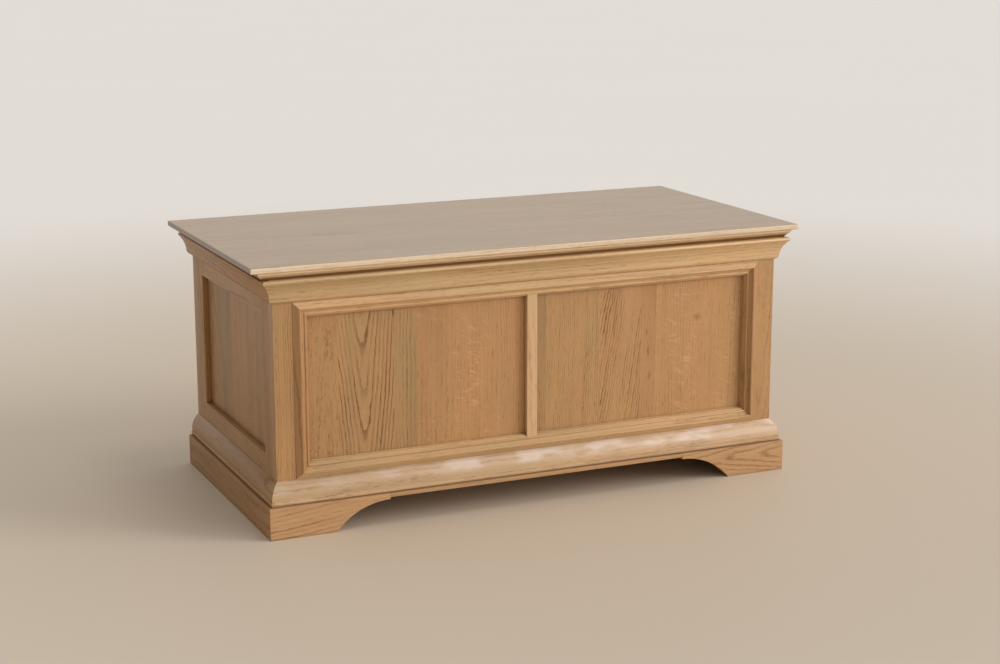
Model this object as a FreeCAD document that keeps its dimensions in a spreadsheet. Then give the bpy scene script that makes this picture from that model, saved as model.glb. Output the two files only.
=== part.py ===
import FreeCAD, Part
import math
import os
import Sketcher
from FreeCAD import Placement, Rotation, Vector

# Oak blanket chest: a frame-and-panel carcass on a bracket-foot plinth, with a cornice,
# a moulded lid on brass butt hinges and a folding brass lid stay.
# Millimetres. X runs along the front, Y goes from front to back, Z is up.
# The origin is under the middle of the chest, on the floor.

DIMENSIONS = {
    "spare": 1,    # how far a cutting tool goes past what it cuts
    # carcass
    "carcass_width": 1018, "carcass_depth": 510, "carcass_bottom": 59, "carcass_top": 466.5,
    "frame_thick": 24, "front_stile": 52, "side_stile": 40, "back_stile": 64,
    "front_rail_low": 115, "front_rail_high": 409, "side_rail_low": 137.5, "side_rail_high": 394,
    "tenon_length": 26, "tenon_thick": 8, "tenon_shoulder": 8,
    "panel_setback": 11, "panel_thick": 8, "panel_groove": 6,
    "muntin_width": 20.6, "muntin_offset": -10,
    # mouldings
    "panel_mould_width": 29.5, "panel_mould_proud": 7.5, "panel_mould_margin": 36.5,
    "panel_mould_lap": 16, "panel_mould_top": 422.5, "panel_mould_bottom": 102,
    "cornice_bottom": 423, "cornice_reach": 22, "cornice_bead": 6,
    "base_top": 101.5, "base_reach": 16, "base_fillet": 7,
    # plinth
    "plinth_reach": 21, "foot_length": 124.5, "foot_span": 228,
    "foot_tip": 48, "foot_nib": 3, "apron_low": 52, "foot_arc": 132, "block_size": 45,
    # floor of the chest
    "bearer_size": 20, "bearer_bottom": 62, "floor_thick": 12, "floor_gap": 0.6,
    # lid
    "lid_gap": 0.6, "lid_side_overhang": 42, "lid_front_overhang": 18, "back_overhang": 20,
    "lid_board_thick": 19, "nose_round": 2.6, "nose_height": 8.2, "nose_under": 1.8,
    "nose_low": 11, "nose_fillet": 2.6, "nose_slope": 5, "nose_step_front": 3.4,
    "nose_step_side": 13.4,
    "lid_frame_thick": 5, "lid_frame_in": 40, "lid_frame_inset": 20,
    "batten_thick": 18, "batten_width": 50, "batten_spacing": 330, "batten_clear": 3, "batten_bite": 12,
    # butt hinges
    "hinge_spacing": 340, "hinge_length": 64, "leaf_thick": 2, "leaf_width": 19,
    "knuckle_radius": 5, "knuckle_offset": 5.3, "knuckle_gap": 0.4,
    "pin_radius": 2, "pin_clearance": 0.05,
    # folding lid stay
    "stay_low_forward": 75, "stay_low_drop": 110, "stay_lid_forward": 170, "stay_lid_drop": 14,
    "arm_width": 14, "arm_thick": 2.5, "arm_gap": 0.5, "plate_thick": 2,
    "rivet_radius": 3, "rivet_clearance": 0.05, "open_pivot_clearance": 0.4,
    "rivet_head": 4.8, "rivet_head_thick": 1.2, "rivet_play": 0.5,
    "wall_plate_width": 28, "wall_plate_height": 60, "wall_screw_spacing": 44,
    "ear_width": 18, "ear_below_pivot": 8, "lid_plate_length": 44, "lid_plate_reach": 20,
    "lid_plate_screw_in": 9, "lid_plate_screw_spacing": 30,
    # wood screws
    "hinge_screw_spacing": 21.8, "hinge_screw_middle": 12.5, "hinge_screw_outer": 6.5,
    "screw_head": 3.8, "screw_shank": 1.8, "screw_length": 16, "screw_head_depth": 2,
}

LID_BOARDS = 3
FLOOR_BOARDS = 5
KNUCKLES = 5
HINGE_SCREWS = 3
BATTENS = (-1, 0, 1)                        # places along the lid, in batten spacings
BATTEN_SCREWS = (0.12, 0.37, 0.63, 0.88)    # places along a batten, as shares of the inside depth

doc = FreeCAD.newDocument("oak_chest")
sheet = doc.addObject("Spreadsheet::Sheet", "dim")
for line, (alias, number) in enumerate(DIMENSIONS.items(), 1):
    sheet.set("A%d" % line, alias)
    sheet.set("B%d" % line, str(number))
    sheet.setAlias("B%d" % line, alias)
doc.recompute()

# Places that several pieces share, as expressions on the sheet.
HALF = "(dim.carcass_width / 2)"
INNER = "(dim.carcass_width / 2 - dim.frame_thick)"
KNUCKLE_REACH = "(dim.knuckle_offset + dim.knuckle_radius)"
FRONT = "(-(dim.carcass_depth + dim.back_overhang + %s - dim.cornice_reach) / 2)" % KNUCKLE_REACH
BACK = "(%s + dim.carcass_depth)" % FRONT
INSIDE_FRONT = "(%s + dim.frame_thick)" % FRONT
INSIDE_BACK = "(%s - dim.frame_thick)" % BACK
LID_HALF = "(%s + dim.lid_side_overhang)" % HALF
LID_FRONT = "(%s - dim.lid_front_overhang)" % FRONT
LID_BACK = "(%s + dim.back_overhang)" % BACK
LID_BOTTOM = "(dim.carcass_top + dim.lid_gap)"
BOARD_BOTTOM = "(%s + dim.lid_frame_thick)" % LID_BOTTOM
LID_TOP = "(%s + dim.lid_board_thick)" % BOARD_BOTTOM
AXIS_Y = "(%s + dim.knuckle_offset)" % LID_BACK
AXIS_Z = "(dim.carcass_top + dim.lid_gap / 2)"

nodes = []


def number(expression):
    """The value of an expression on the sheet."""
    return float(sheet.evalExpression(expression))


def node(label, thing):
    """Names a finished piece, so that it is written to its own file."""
    thing.Label = label
    nodes.append(thing)
    return thing


def bind(thing, **expressions):
    for prop, expression in expressions.items():
        thing.setExpression(prop, expression)
    return thing


def at(thing, x="0", y="0", z="0"):
    """Places an object at a point given by three expressions."""
    thing.setExpression("Placement.Base.x", x)
    thing.setExpression("Placement.Base.y", y)
    thing.setExpression("Placement.Base.z", z)
    return thing


def box(x0, x1, y0, y1, z0, z1):
    """A box between two x, two y and two z expressions."""
    made = doc.addObject("Part::Box", "box")
    bind(made, Length="%s - (%s)" % (x1, x0), Width="%s - (%s)" % (y1, y0), Height="%s - (%s)" % (z1, z0))
    return at(made, x0, y0, z0)


AXES = {"x": Rotation(Vector(0, 1, 0), 90), "z": Rotation(), "-z": Rotation(Vector(1, 0, 0), 180)}


def cylinder(radius, length, x, y, z, along):
    made = doc.addObject("Part::Cylinder", "cylinder")
    made.Placement = Placement(Vector(), AXES[along])
    bind(made, Radius=radius, Height=length)
    return at(made, x, y, z)


def cone(first, second, length, x, y, z, along):
    made = doc.addObject("Part::Cone", "cone")
    made.Placement = Placement(Vector(), AXES[along])
    bind(made, Radius1=first, Radius2=second, Height=length)
    return at(made, x, y, z)


def fuse(parts):
    made = doc.addObject("Part::MultiFuse", "fuse")
    made.Shapes = parts
    made.Refine = True
    return made


def group(parts):
    """Separate solids kept in one object."""
    made = doc.addObject("Part::Compound", "group")
    made.Links = parts
    return made


def cut(base, *tools):
    for tool in tools:
        made = doc.addObject("Part::Cut", "cut")
        made.Base = base
        made.Tool = tool
        base = made
    return base


def common(base, tool):
    made = doc.addObject("Part::Common", "common")
    made.Base = base
    made.Tool = tool
    return made


def plane_of(body, role):
    return next(f for f in body.Origin.OriginFeatures if f.Role == role)


def outline_sketch(body, role, corners):
    """A closed sketch on one of the body's own planes. Each corner is (across, up) or
    (across, up, radius): the edge that leaves it is then an arc of that radius, which
    bulges to the right of its direction, or to the left if the radius is negative."""
    sketch = body.newObject("Sketcher::SketchObject", "outline")
    sketch.AttachmentSupport = [(plane_of(body, role), "")]
    sketch.MapMode = "FlatFace"
    places = [Vector(number(c[0]), number(c[1]), 0) for c in corners]
    ends = []
    for i, corner in enumerate(corners):
        start, stop = places[i], places[(i + 1) % len(places)]
        if len(corner) == 2:
            edge = sketch.addGeometry(Part.LineSegment(start, stop), False)
            ends.append((edge, 1, 2))
            continue
        radius = number(corner[2])
        chord = stop - start
        rise = abs(radius) - math.sqrt(radius * radius - chord.Length ** 2 / 4)
        right = Vector(chord.y, -chord.x, 0).normalize() * math.copysign(rise, radius)
        middle = (start + stop) * 0.5 + right
        edge = sketch.addGeometry(Part.Arc(start, middle, stop), False)
        first = 1 if sketch.getPoint(edge, 1).distanceToPoint(start) < 1e-6 else 2
        ends.append((edge, first, 3 - first))
        sketch.addConstraint(Sketcher.Constraint("Radius", edge, abs(radius)))
        sketch.setExpression("Constraints[%d]" % (sketch.ConstraintCount - 1), "abs(%s)" % corner[2])
    for i, (edge, first, _) in enumerate(ends):
        before, _, last = ends[i - 1]
        sketch.addConstraint(Sketcher.Constraint("Coincident", before, last, edge, first))
        for kind, value, expression in (("DistanceX", places[i].x, corners[i][0]),
                                        ("DistanceY", places[i].y, corners[i][1])):
            sketch.addConstraint(Sketcher.Constraint(kind, -1, 1, edge, first, value))
            sketch.setExpression("Constraints[%d]" % (sketch.ConstraintCount - 1), expression)
    return sketch


def facing_front(profile):
    """A profile given as (distance out, height) turned to face -Y, arcs included."""
    return [("-(%s)" % c[0], c[1]) + tuple("-(%s)" % r for r in c[2:]) for c in profile]


def pad_both_ways(body, sketch, length):
    pad = body.newObject("PartDesign::Pad", "pad")
    pad.Profile = sketch
    pad.Midplane = True
    pad.setExpression("Length", length)
    return pad


def trim(body, role, corners, reach):
    """Cuts a straight-sided prism off a body, square to one of its planes."""
    doc.recompute()
    before = body.Shape.Volume
    pocket = body.newObject("PartDesign::Pocket", "trim")
    pocket.Profile = outline_sketch(body, role, corners)
    pocket.Midplane = True
    pocket.setExpression("Length", reach)
    doc.recompute()
    if body.Shape.Volume > before - 1:
        raise RuntimeError("a trim of %s cut nothing" % body.Label)


def run_moulding(label, profile, length, reach, inset="0", mitres=("left", "right")):
    """A moulding along X whose back lies on the plane y = 0 and whose profile, as pairs of
    (distance out, height), faces -Y. length is that of the wall it follows. A mitred end grows
    with the distance out, the other kind is square; inset is how far it goes in behind the wall."""
    body = doc.addObject("PartDesign::Body", label)
    body.Label = label
    sketch = outline_sketch(body, "YZ_Plane", facing_front(profile))
    half = "(%s) / 2" % length
    pad_both_ways(body, sketch, "(%s) + 2 * (%s + dim.spare)" % (length, reach))
    out, behind = "-(%s) - dim.spare" % reach, "(%s) + dim.spare" % inset
    for side, sign in (("left", "-"), ("right", "")):
        far = "%s(%s + (%s) + dim.spare)" % (sign, half, reach)
        if side in mitres:
            near = "%s(%s - (%s) - dim.spare)" % (sign, half, inset)
            corners = [(far, out), (far, behind), (near, behind)]
        else:
            end = "%s(%s)" % (sign, half)
            corners = [(far, out), (far, behind), (end, behind), (end, out)]
        trim(body, "XY_Plane", corners, "3 * dim.carcass_top")
    return body


def around_three_sides(kind, profile, reach, back_end, inset="0", half=HALF, front_y=FRONT):
    """A moulding along the front at front_y and both sides at half, mitred at the two front
    corners and cut square at the back."""
    depth = "(%s - (%s))" % (back_end, front_y)
    front = run_moulding("%s_front" % kind, profile, "2 * %s" % half, reach, inset)
    at(front, "0", front_y, "0")
    left = run_moulding("%s_left" % kind, profile, depth, reach, inset, mitres=("right",))
    left.Placement = Placement(Vector(), Rotation(Vector(0, 0, 1), -90))
    at(left, "-%s" % half, "%s + %s / 2" % (front_y, depth), "0")
    right = run_moulding("%s_right" % kind, profile, depth, reach, inset, mitres=("left",))
    right.Placement = Placement(Vector(), Rotation(Vector(0, 0, 1), 90))
    at(right, half, "%s + %s / 2" % (front_y, depth), "0")
    return front, left, right


# ---- screws ----


def screw(x, y, z, along, length="dim.screw_length"):
    """A countersunk wood screw: its head's flat face is at the point, and it points along."""
    head = cone("dim.screw_head", "dim.screw_shank", "dim.screw_head_depth", x, y, z, along)
    shank = cylinder("dim.screw_shank", length, x, y, z, along)
    return fuse([head, shank])


# ---- carcass frames ----


def rail(x0, x1, y0, y1, z0, z1, along):
    """A rail between two stiles, with a tenon on each end in the middle of its thickness."""
    long_tenon = "dim.tenon_length"
    low, high = "%s + dim.tenon_shoulder" % z0, "%s - dim.tenon_shoulder" % z1
    if along == "x":
        edge = "((%s + %s) / 2)" % (y0, y1)
        tenon = box("%s - %s" % (x0, long_tenon), "%s + %s" % (x1, long_tenon),
                    "%s - dim.tenon_thick / 2" % edge, "%s + dim.tenon_thick / 2" % edge, low, high)
    else:
        edge = "((%s + %s) / 2)" % (x0, x1)
        tenon = box("%s - dim.tenon_thick / 2" % edge, "%s + dim.tenon_thick / 2" % edge,
                    "%s - %s" % (y0, long_tenon), "%s + %s" % (y1, long_tenon), low, high)
    return fuse([box(x0, x1, y0, y1, z0, z1), tenon])


def front_frame():
    inner = "(%s - dim.front_stile)" % HALF
    low, high = "dim.front_rail_low", "dim.front_rail_high"
    left_edge = "(dim.muntin_offset - dim.muntin_width / 2)"
    right_edge = "(dim.muntin_offset + dim.muntin_width / 2)"
    face = "(%s + dim.panel_setback)" % FRONT
    rear = "(%s + dim.panel_thick)" % face
    spare = "dim.panel_groove"
    z0, z1 = "%s - %s" % (low, spare), "%s + %s" % (high, spare)
    panels = [box("-%s - %s" % (inner, spare), "%s + %s" % (left_edge, spare), face, rear, z0, z1),
              box("%s - %s" % (right_edge, spare), "%s + %s" % (inner, spare), face, rear, z0, z1)]
    grooves = group(panels)
    top = rail("-%s" % inner, inner, FRONT, INSIDE_FRONT, high, "dim.carcass_top", "x")
    bottom = rail("-%s" % inner, inner, FRONT, INSIDE_FRONT, "dim.carcass_bottom", low, "x")
    tongue = box("%s + %s" % (left_edge, spare), "%s - %s" % (right_edge, spare), face, rear,
                 "%s - dim.tenon_length" % low, "%s + dim.tenon_length" % high)
    muntin = fuse([box(left_edge, right_edge, FRONT, INSIDE_FRONT, low, high), tongue])
    for side, x0, x1 in (("left", "-%s" % HALF, "-%s" % inner), ("right", inner, HALF)):
        stile = box(x0, x1, FRONT, INSIDE_FRONT, "dim.carcass_bottom", "dim.carcass_top")
        node("front_stile_%s" % side, cut(stile, grooves, top, bottom))
    muntin = node("front_muntin", cut(muntin, grooves))
    node("front_rail_top", cut(top, grooves, muntin))
    node("front_rail_bottom", cut(bottom, grooves, muntin))
    node("front_panel_left", panels[0])
    node("front_panel_right", panels[1])
    return muntin


def side_frame(side, sign):
    """A side wall between the front and back frames: two stiles, two rails and a panel."""
    y0, y1 = "(%s + dim.side_stile)" % INSIDE_FRONT, "(%s - dim.side_stile)" % INSIDE_BACK
    low, high = "dim.side_rail_low", "dim.side_rail_high"
    spare = "dim.panel_groove"
    if sign < 0:
        x0, x1 = "-%s" % HALF, "-%s" % INNER
        p0, p1 = "(-%s + dim.panel_setback)" % HALF, "(-%s + dim.panel_setback + dim.panel_thick)" % HALF
    else:
        x0, x1 = INNER, HALF
        p0, p1 = "(%s - dim.panel_setback - dim.panel_thick)" % HALF, "(%s - dim.panel_setback)" % HALF
    panel = box(p0, p1, "%s - %s" % (y0, spare), "%s + %s" % (y1, spare),
                "%s - %s" % (low, spare), "%s + %s" % (high, spare))
    top = rail(x0, x1, y0, y1, high, "dim.carcass_top", "y")
    bottom = rail(x0, x1, y0, y1, "dim.carcass_bottom", low, "y")
    stile_tools = [panel, top, bottom]
    front = box(x0, x1, INSIDE_FRONT, y0, "dim.carcass_bottom", "dim.carcass_top")
    node("side_stile_front_%s" % side, cut(front, *stile_tools))
    back = box(x0, x1, y1, INSIDE_BACK, "dim.carcass_bottom", "dim.carcass_top")
    back = cut(back, *stile_tools)
    node("side_rail_top_%s" % side, cut(top, panel))
    node("side_rail_bottom_%s" % side, cut(bottom, panel))
    node("side_panel_%s" % side, panel)
    return back


def back_frame():
    inner = "(%s - dim.back_stile)" % HALF
    low, high = "dim.side_rail_low", "dim.side_rail_high"
    spare = "dim.panel_groove"
    panel = box("-%s - %s" % (inner, spare), "%s + %s" % (inner, spare),
                "%s - dim.panel_setback - dim.panel_thick" % BACK, "%s - dim.panel_setback" % BACK,
                "%s - %s" % (low, spare), "%s + %s" % (high, spare))
    top = rail("-%s" % inner, inner, INSIDE_BACK, BACK, high, "dim.carcass_top", "x")
    bottom = rail("-%s" % inner, inner, INSIDE_BACK, BACK, "dim.carcass_bottom", low, "x")
    for side, x0, x1 in (("left", "-%s" % HALF, "-%s" % inner), ("right", inner, HALF)):
        stile = box(x0, x1, INSIDE_BACK, BACK, "dim.carcass_bottom", "dim.carcass_top")
        node("back_stile_%s" % side, cut(stile, panel, top, bottom))
    node("back_rail_top", cut(top, panel))
    node("back_rail_bottom", cut(bottom, panel))
    node("back_panel", panel)


def panel_mouldings(muntin):
    """Four mitred bolection mouldings round the front panels: each laps onto the frame with
    a proud crest and falls to the panel, and the long two are scribed over the muntin."""
    wide, lap, proud = "dim.panel_mould_width", "dim.panel_mould_lap", "dim.panel_mould_proud"
    drop = "dim.panel_setback"
    # (in from the outer edge, proud of the frame): a steep outer slope, a round crest, a
    # hollow, a bead and an ogee down to the panel
    profile = [
        ("0", "0"), ("0", "0.9"), ("1.2", "1.3"), ("9.4", "%s - 0.9" % proud),
        ("10", "%s - 1" % proud, "-2.1"), ("13.4", "%s - 1.2" % proud),
        ("14", "%s - 2.4" % proud, "12"), ("19.8", "0.8"), ("20.4", "1", "-2.1"), ("24", "0.8"),
        ("24.7", "-0.8", "-8"), ("28.5", "-%s + 3" % drop),
        (wide, "-%s + 1.6" % drop), (wide, "-%s" % drop), (lap, "-%s" % drop), (lap, "0"),
    ]
    across = "2 * (%s - dim.panel_mould_margin)" % HALF
    upright = "(dim.panel_mould_top - dim.panel_mould_bottom)"
    middle = "((dim.panel_mould_top + dim.panel_mould_bottom) / 2)"
    edge = "(%s - dim.panel_mould_margin)" % HALF
    ways = {
        "top": (across, 0, "0", "dim.panel_mould_top"),
        "right": (upright, 90, edge, middle),
        "bottom": (across, 180, "0", "dim.panel_mould_bottom"),
        "left": (upright, 270, "-%s" % edge, middle),
    }
    for side, (length, turn, x, z) in ways.items():
        body = doc.addObject("PartDesign::Body", "panel_moulding_%s" % side)
        body.Label = "moulding_%s" % side
        corners = facing_front([(c[1], "-(%s)" % c[0]) + tuple(c[2:]) for c in profile])
        pad_both_ways(body, outline_sketch(body, "YZ_Plane", corners), length)
        half = "(%s) / 2" % length
        for sign in ("-", ""):
            far, low = "%s(%s + dim.spare)" % (sign, half), "-%s - dim.spare" % wide
            mitre = [(far, "dim.spare"), (far, low), ("%s(%s - %s - dim.spare)" % (sign, half, wide), low)]
            trim(body, "XZ_Plane", mitre, "4 * %s" % wide)
        body.Placement = Placement(Vector(), Rotation(Vector(0, 1, 0), turn))
        at(body, x, FRONT, z)
        finished = cut(body, muntin) if side in ("top", "bottom") else body
        node("panel_moulding_%s" % side, finished)


# ---- cornice, base moulding and plinth ----


def cornice():
    """A cove under a bead, level with the top of the carcass."""
    reach, low, top = "dim.cornice_reach", "dim.cornice_bottom", "dim.carcass_top"
    under_bead = "%s - dim.cornice_bead" % top
    profile = [
        ("0", low), ("1.4", low, "9"), ("6.4", "%s + 6" % low), ("6.8", "%s + 7.5" % low, "-48"),
        ("%s - 1.2" % reach, under_bead), (reach, "%s + 1.2" % under_bead, "3.6"),
        ("%s - 2" % reach, top), ("0", top),
    ]
    for piece in around_three_sides("cornice", profile, reach, LID_BACK):
        node(piece.Label, piece)


def base_moulding():
    """A long ovolo over a narrow fillet, standing on the plinth."""
    reach, low, top = "dim.base_reach", "dim.carcass_bottom", "dim.base_top"
    face, fillet = "(%s - 1.6)" % reach, "(%s + dim.base_fillet)" % low
    profile = [
        ("0", low), (face, low), (face, "%s + 1.4" % low), (reach, "%s + 2.2" % low),
        (reach, "%s - 1" % fillet), (face, fillet), (face, "%s + 3.6" % fillet, "42"),
        ("0.8", "%s - 0.8" % top), ("0.8", top), ("0", top),
    ]
    for piece in around_three_sides("base_moulding", profile, reach, BACK):
        node(piece.Label, piece)


def front_foot(side, sign):
    """A bracket foot: a board mitred at the corner of the chest, with a swept inner edge."""
    body = doc.addObject("PartDesign::Body", "foot_front_%s" % side)
    out, top, thick = "(%s + dim.plinth_reach)" % HALF, "dim.carcass_bottom", "dim.plinth_reach"
    heel, tip = "(%s - dim.foot_length)" % out, "(%s - dim.foot_span)" % out
    nib = "(%s + dim.foot_nib)" % tip
    if sign > 0:
        outline = [(tip, top), (tip, "dim.foot_tip"), (nib, "dim.foot_tip", "-dim.foot_arc"),
                   (heel, "0"), (out, "0"), (out, top)]
    else:
        outline = [("-%s" % tip, top), ("-%s" % out, top), ("-%s" % out, "0"),
                   ("-%s" % heel, "0", "-dim.foot_arc"), ("-%s" % nib, "dim.foot_tip"),
                   ("-%s" % tip, "dim.foot_tip")]
    pad_both_ways(body, outline_sketch(body, "XZ_Plane", outline), thick)
    mark = "" if sign > 0 else "-"
    far, behind = "%s(%s + dim.spare)" % (mark, out), "%s / 2 + dim.spare" % thick
    mitre = [(far, "-%s / 2 - dim.spare" % thick), (far, behind),
             ("%s(%s - %s - dim.spare)" % (mark, out, thick), behind)]
    trim(body, "XY_Plane", mitre, "4 * %s" % top)
    node("foot_front_%s" % side, at(body, "0", "%s - %s / 2" % (FRONT, thick), "0"))


def plinth_side(side, sign):
    """A straight board on the floor along one side, mitred to the front foot."""
    body = doc.addObject("PartDesign::Body", "plinth_side_%s" % side)
    mark = "" if sign > 0 else "-"
    front = "(%s - dim.plinth_reach)" % FRONT
    inner, outer = "%s%s" % (mark, HALF), "%s(%s + dim.plinth_reach)" % (mark, HALF)
    plan = [(inner, FRONT), (outer, front), (outer, BACK), (inner, BACK)]
    if sign < 0:
        plan.reverse()
    pad_both_ways(body, outline_sketch(body, "XY_Plane", plan), "dim.carcass_bottom")
    node("plinth_side_%s" % side, at(body, "0", "0", "dim.carcass_bottom / 2"))


def plinth():
    for side, sign in (("left", -1), ("right", 1)):
        front_foot(side, sign)
        plinth_side(side, sign)
    tip = "(%s + dim.plinth_reach - dim.foot_span)" % HALF
    node("apron_front", box("-%s" % tip, tip, "%s - dim.plinth_reach" % FRONT, FRONT,
                            "dim.apron_low", "dim.carcass_bottom"))
    behind = "(%s - dim.plinth_reach)" % BACK
    node("plinth_back", box("-%s" % HALF, HALF, behind, BACK, "0", "dim.carcass_bottom"))
    blocks = []
    for x0, x1 in (("-%s" % HALF, "-%s + dim.block_size" % HALF), ("%s - dim.block_size" % HALF, HALF)):
        for y0, y1 in ((FRONT, "%s + dim.block_size" % FRONT), ("%s - dim.block_size" % behind, behind)):
            blocks.append(box(x0, x1, y0, y1, "0", "dim.carcass_bottom"))
    node("corner_blocks", group(blocks))


def chest_floor():
    """Loose boards on two bearers that are glued to the bottom rails."""
    low = "dim.bearer_bottom"
    high = "(%s + dim.bearer_size)" % low
    bearers = [box("-%s" % INNER, INNER, INSIDE_FRONT, "%s + dim.bearer_size" % INSIDE_FRONT, low, high),
               box("-%s" % INNER, INNER, "%s - dim.bearer_size" % INSIDE_BACK, INSIDE_BACK, low, high)]
    node("floor_bearers", group(bearers))
    boards = []
    width = "((%s - (%s)) / %d)" % (INSIDE_BACK, INSIDE_FRONT, FLOOR_BOARDS)
    for i in range(FLOOR_BOARDS):
        y0 = "%s + %d * %s + dim.floor_gap / 2" % (INSIDE_FRONT, i, width)
        y1 = "%s + %d * %s - dim.floor_gap / 2" % (INSIDE_FRONT, i + 1, width)
        boards.append(box("-%s + dim.floor_gap" % INNER, "%s - dim.floor_gap" % INNER, y0, y1,
                          high, "%s + dim.floor_thick" % high))
    node("floor_boards", group(boards))


# ---- lid ----


def lid_edge(step, edge):
    """The lid's edge from the top down: a thin square nose with its arrises rounded, a fillet
    set back under it by the step, and a slope on down to the underside. Goes in from the
    edge, which is on the low side."""
    high = LID_TOP
    corners = [
        ("dim.nose_round", high, "dim.nose_round"), ("0", "%s - dim.nose_round" % high),
        ("0", "%s - dim.nose_height" % high, "dim.nose_under"),
        ("dim.nose_under", "%s - dim.nose_height - dim.nose_under" % high),
        (step, "%s - dim.nose_low" % high), (step, "%s - dim.nose_low - dim.nose_fillet" % high),
        ("%s + dim.nose_slope" % step, BOARD_BOTTOM),
    ]
    return [("%s + %s" % (edge, c[0]), c[1]) + tuple(c[2:]) for c in corners]


def mirrored(corners):
    """The same line of corners on the other side, taken the other way, arcs included."""
    radii = [()] + [tuple(c[2:]) for c in corners[:-1]]
    return [("-(%s)" % c[0], c[1]) + r for c, r in reversed(list(zip(corners, radii)))]


def lid_blank():
    """The whole lid board, with its moulded edge along the front and both ends and square at
    the back."""
    lengthways = doc.addObject("PartDesign::Body", "nose_front")
    section = [(LID_BACK, LID_TOP)] + lid_edge("dim.nose_step_front", LID_FRONT) + [(LID_BACK, BOARD_BOTTOM)]
    pad_both_ways(lengthways, outline_sketch(lengthways, "YZ_Plane", section), "2 * %s" % LID_HALF)
    crossways = doc.addObject("PartDesign::Body", "nose_ends")
    left = lid_edge("dim.nose_step_side", "-%s" % LID_HALF)
    ends = outline_sketch(crossways, "XZ_Plane", mirrored(left) + left)
    pad_both_ways(crossways, ends, "4 * dim.carcass_depth")
    return common(lengthways, crossways)


def lid_frame():
    """Thin strips under the edge of the lid, which carry its slope on down. Distances out are
    measured from the edge of the lid in front; at the sides they stand further in."""
    low, high, out = LID_BOTTOM, BOARD_BOTTOM, "-(dim.nose_step_front + dim.nose_slope)"
    half = "(%s - dim.nose_step_side + dim.nose_step_front)" % LID_HALF
    profile = [
        ("-dim.lid_frame_in", low), ("%s - dim.lid_frame_thick + 0.6" % out, low),
        ("%s - dim.lid_frame_thick + 0.6" % out, "%s + 0.6" % low), (out, high), ("-dim.lid_frame_in", high),
    ]
    strips = around_three_sides("lid_strip", profile, "0", LID_BACK,
                                "dim.lid_frame_in", half, LID_FRONT)
    inner = "(%s - dim.lid_frame_in)" % half
    back = box("-%s" % inner, inner, "%s - dim.lid_frame_inset" % BACK, LID_BACK, low, high)
    return strips, back


def lid_battens():
    low, high = "%s - dim.batten_thick" % BOARD_BOTTOM, BOARD_BOTTOM
    made = []
    for i in BATTENS:
        x = "(%d * dim.batten_spacing)" % i
        made.append(box("%s - dim.batten_width / 2" % x, "%s + dim.batten_width / 2" % x,
                        "%s + dim.batten_clear" % INSIDE_FRONT, "%s - dim.batten_clear" % INSIDE_BACK,
                        low, high))
    return made


def batten_screws():
    made = []
    for i in BATTENS:
        for share in BATTEN_SCREWS:
            y = "%s + %.2f * (%s - (%s))" % (INSIDE_FRONT, share, INSIDE_BACK, INSIDE_FRONT)
            made.append(screw("%d * dim.batten_spacing" % i, y, "%s - dim.batten_thick" % BOARD_BOTTOM, "z",
                              "dim.batten_thick + dim.batten_bite"))
    return made


# ---- butt hinges ----


def hinge_leaf(middle, belongs, z0, z1):
    """One leaf of a butt hinge: a plate let into the wood and its share of the knuckles."""
    start = "(%s - dim.hinge_length / 2)" % middle
    step = "(dim.hinge_length / %d)" % KNUCKLES
    plate = box(start, "%s + dim.hinge_length" % start, "%s - dim.leaf_width" % LID_BACK, LID_BACK, z0, z1)
    parts = [plate]
    for i in belongs:
        x0 = "(%s + %d * %s + dim.knuckle_gap / 2)" % (start, i, step)
        length = "(%s - dim.knuckle_gap)" % step
        parts.append(cylinder("dim.knuckle_radius", length, x0, AXIS_Y, AXIS_Z, "x"))
        parts.append(box(x0, "%s + %s" % (x0, length), "%s - dim.spare" % LID_BACK, AXIS_Y, z0, z1))
    return fuse(parts)


def hinge_bore(middle, clearance):
    start = "(%s - dim.hinge_length / 2 - dim.spare)" % middle
    return cylinder("dim.pin_radius + %s" % clearance, "dim.hinge_length + 2 * dim.spare",
                    start, AXIS_Y, AXIS_Z, "x")


def hinge_screws(z, along):
    """The screws of one leaf on each hinge: the middle one is set further in than the outer two."""
    made = []
    for side in (-1, 1):
        for i in range(HINGE_SCREWS):
            x = "%d * dim.hinge_spacing + %d * dim.hinge_screw_spacing" % (side, i - 1)
            back = "dim.hinge_screw_middle" if i == 1 else "dim.hinge_screw_outer"
            made.append(screw(x, "%s - %s" % (LID_BACK, back), z, along))
    return made


def hinge_parts():
    """Both hinges' carcass leaves, lid leaves and pins."""
    top, low = "dim.carcass_top", LID_BOTTOM
    carcass, lid, pins = [], [], []
    for side in (-1, 1):
        middle = "(%d * dim.hinge_spacing)" % side
        outer = [i for i in range(KNUCKLES) if i % 2 == 0]
        inner = [i for i in range(KNUCKLES) if i % 2 == 1]
        carcass.append(cut(hinge_leaf(middle, outer, "%s - dim.leaf_thick" % top, top),
                           hinge_bore(middle, "0")))
        lid.append(cut(hinge_leaf(middle, inner, low, "%s + dim.leaf_thick" % low),
                       hinge_bore(middle, "dim.pin_clearance")))
        start = "%s - dim.hinge_length / 2 + dim.knuckle_gap / 2" % middle
        pins.append(cylinder("dim.pin_radius", "dim.hinge_length - dim.knuckle_gap",
                             start, AXIS_Y, AXIS_Z, "x"))
    return carcass, lid, pins


# ---- folding lid stay, on the inside of the right wall ----
# The two arms and the lid make a parallelogram with the hinge line, so the lower arm turns
# with the lid and the upper arm keeps its direction. From the wall inwards lie the carcass
# plate, the lower arm, the upper arm and the ear of the lid plate.


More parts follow.
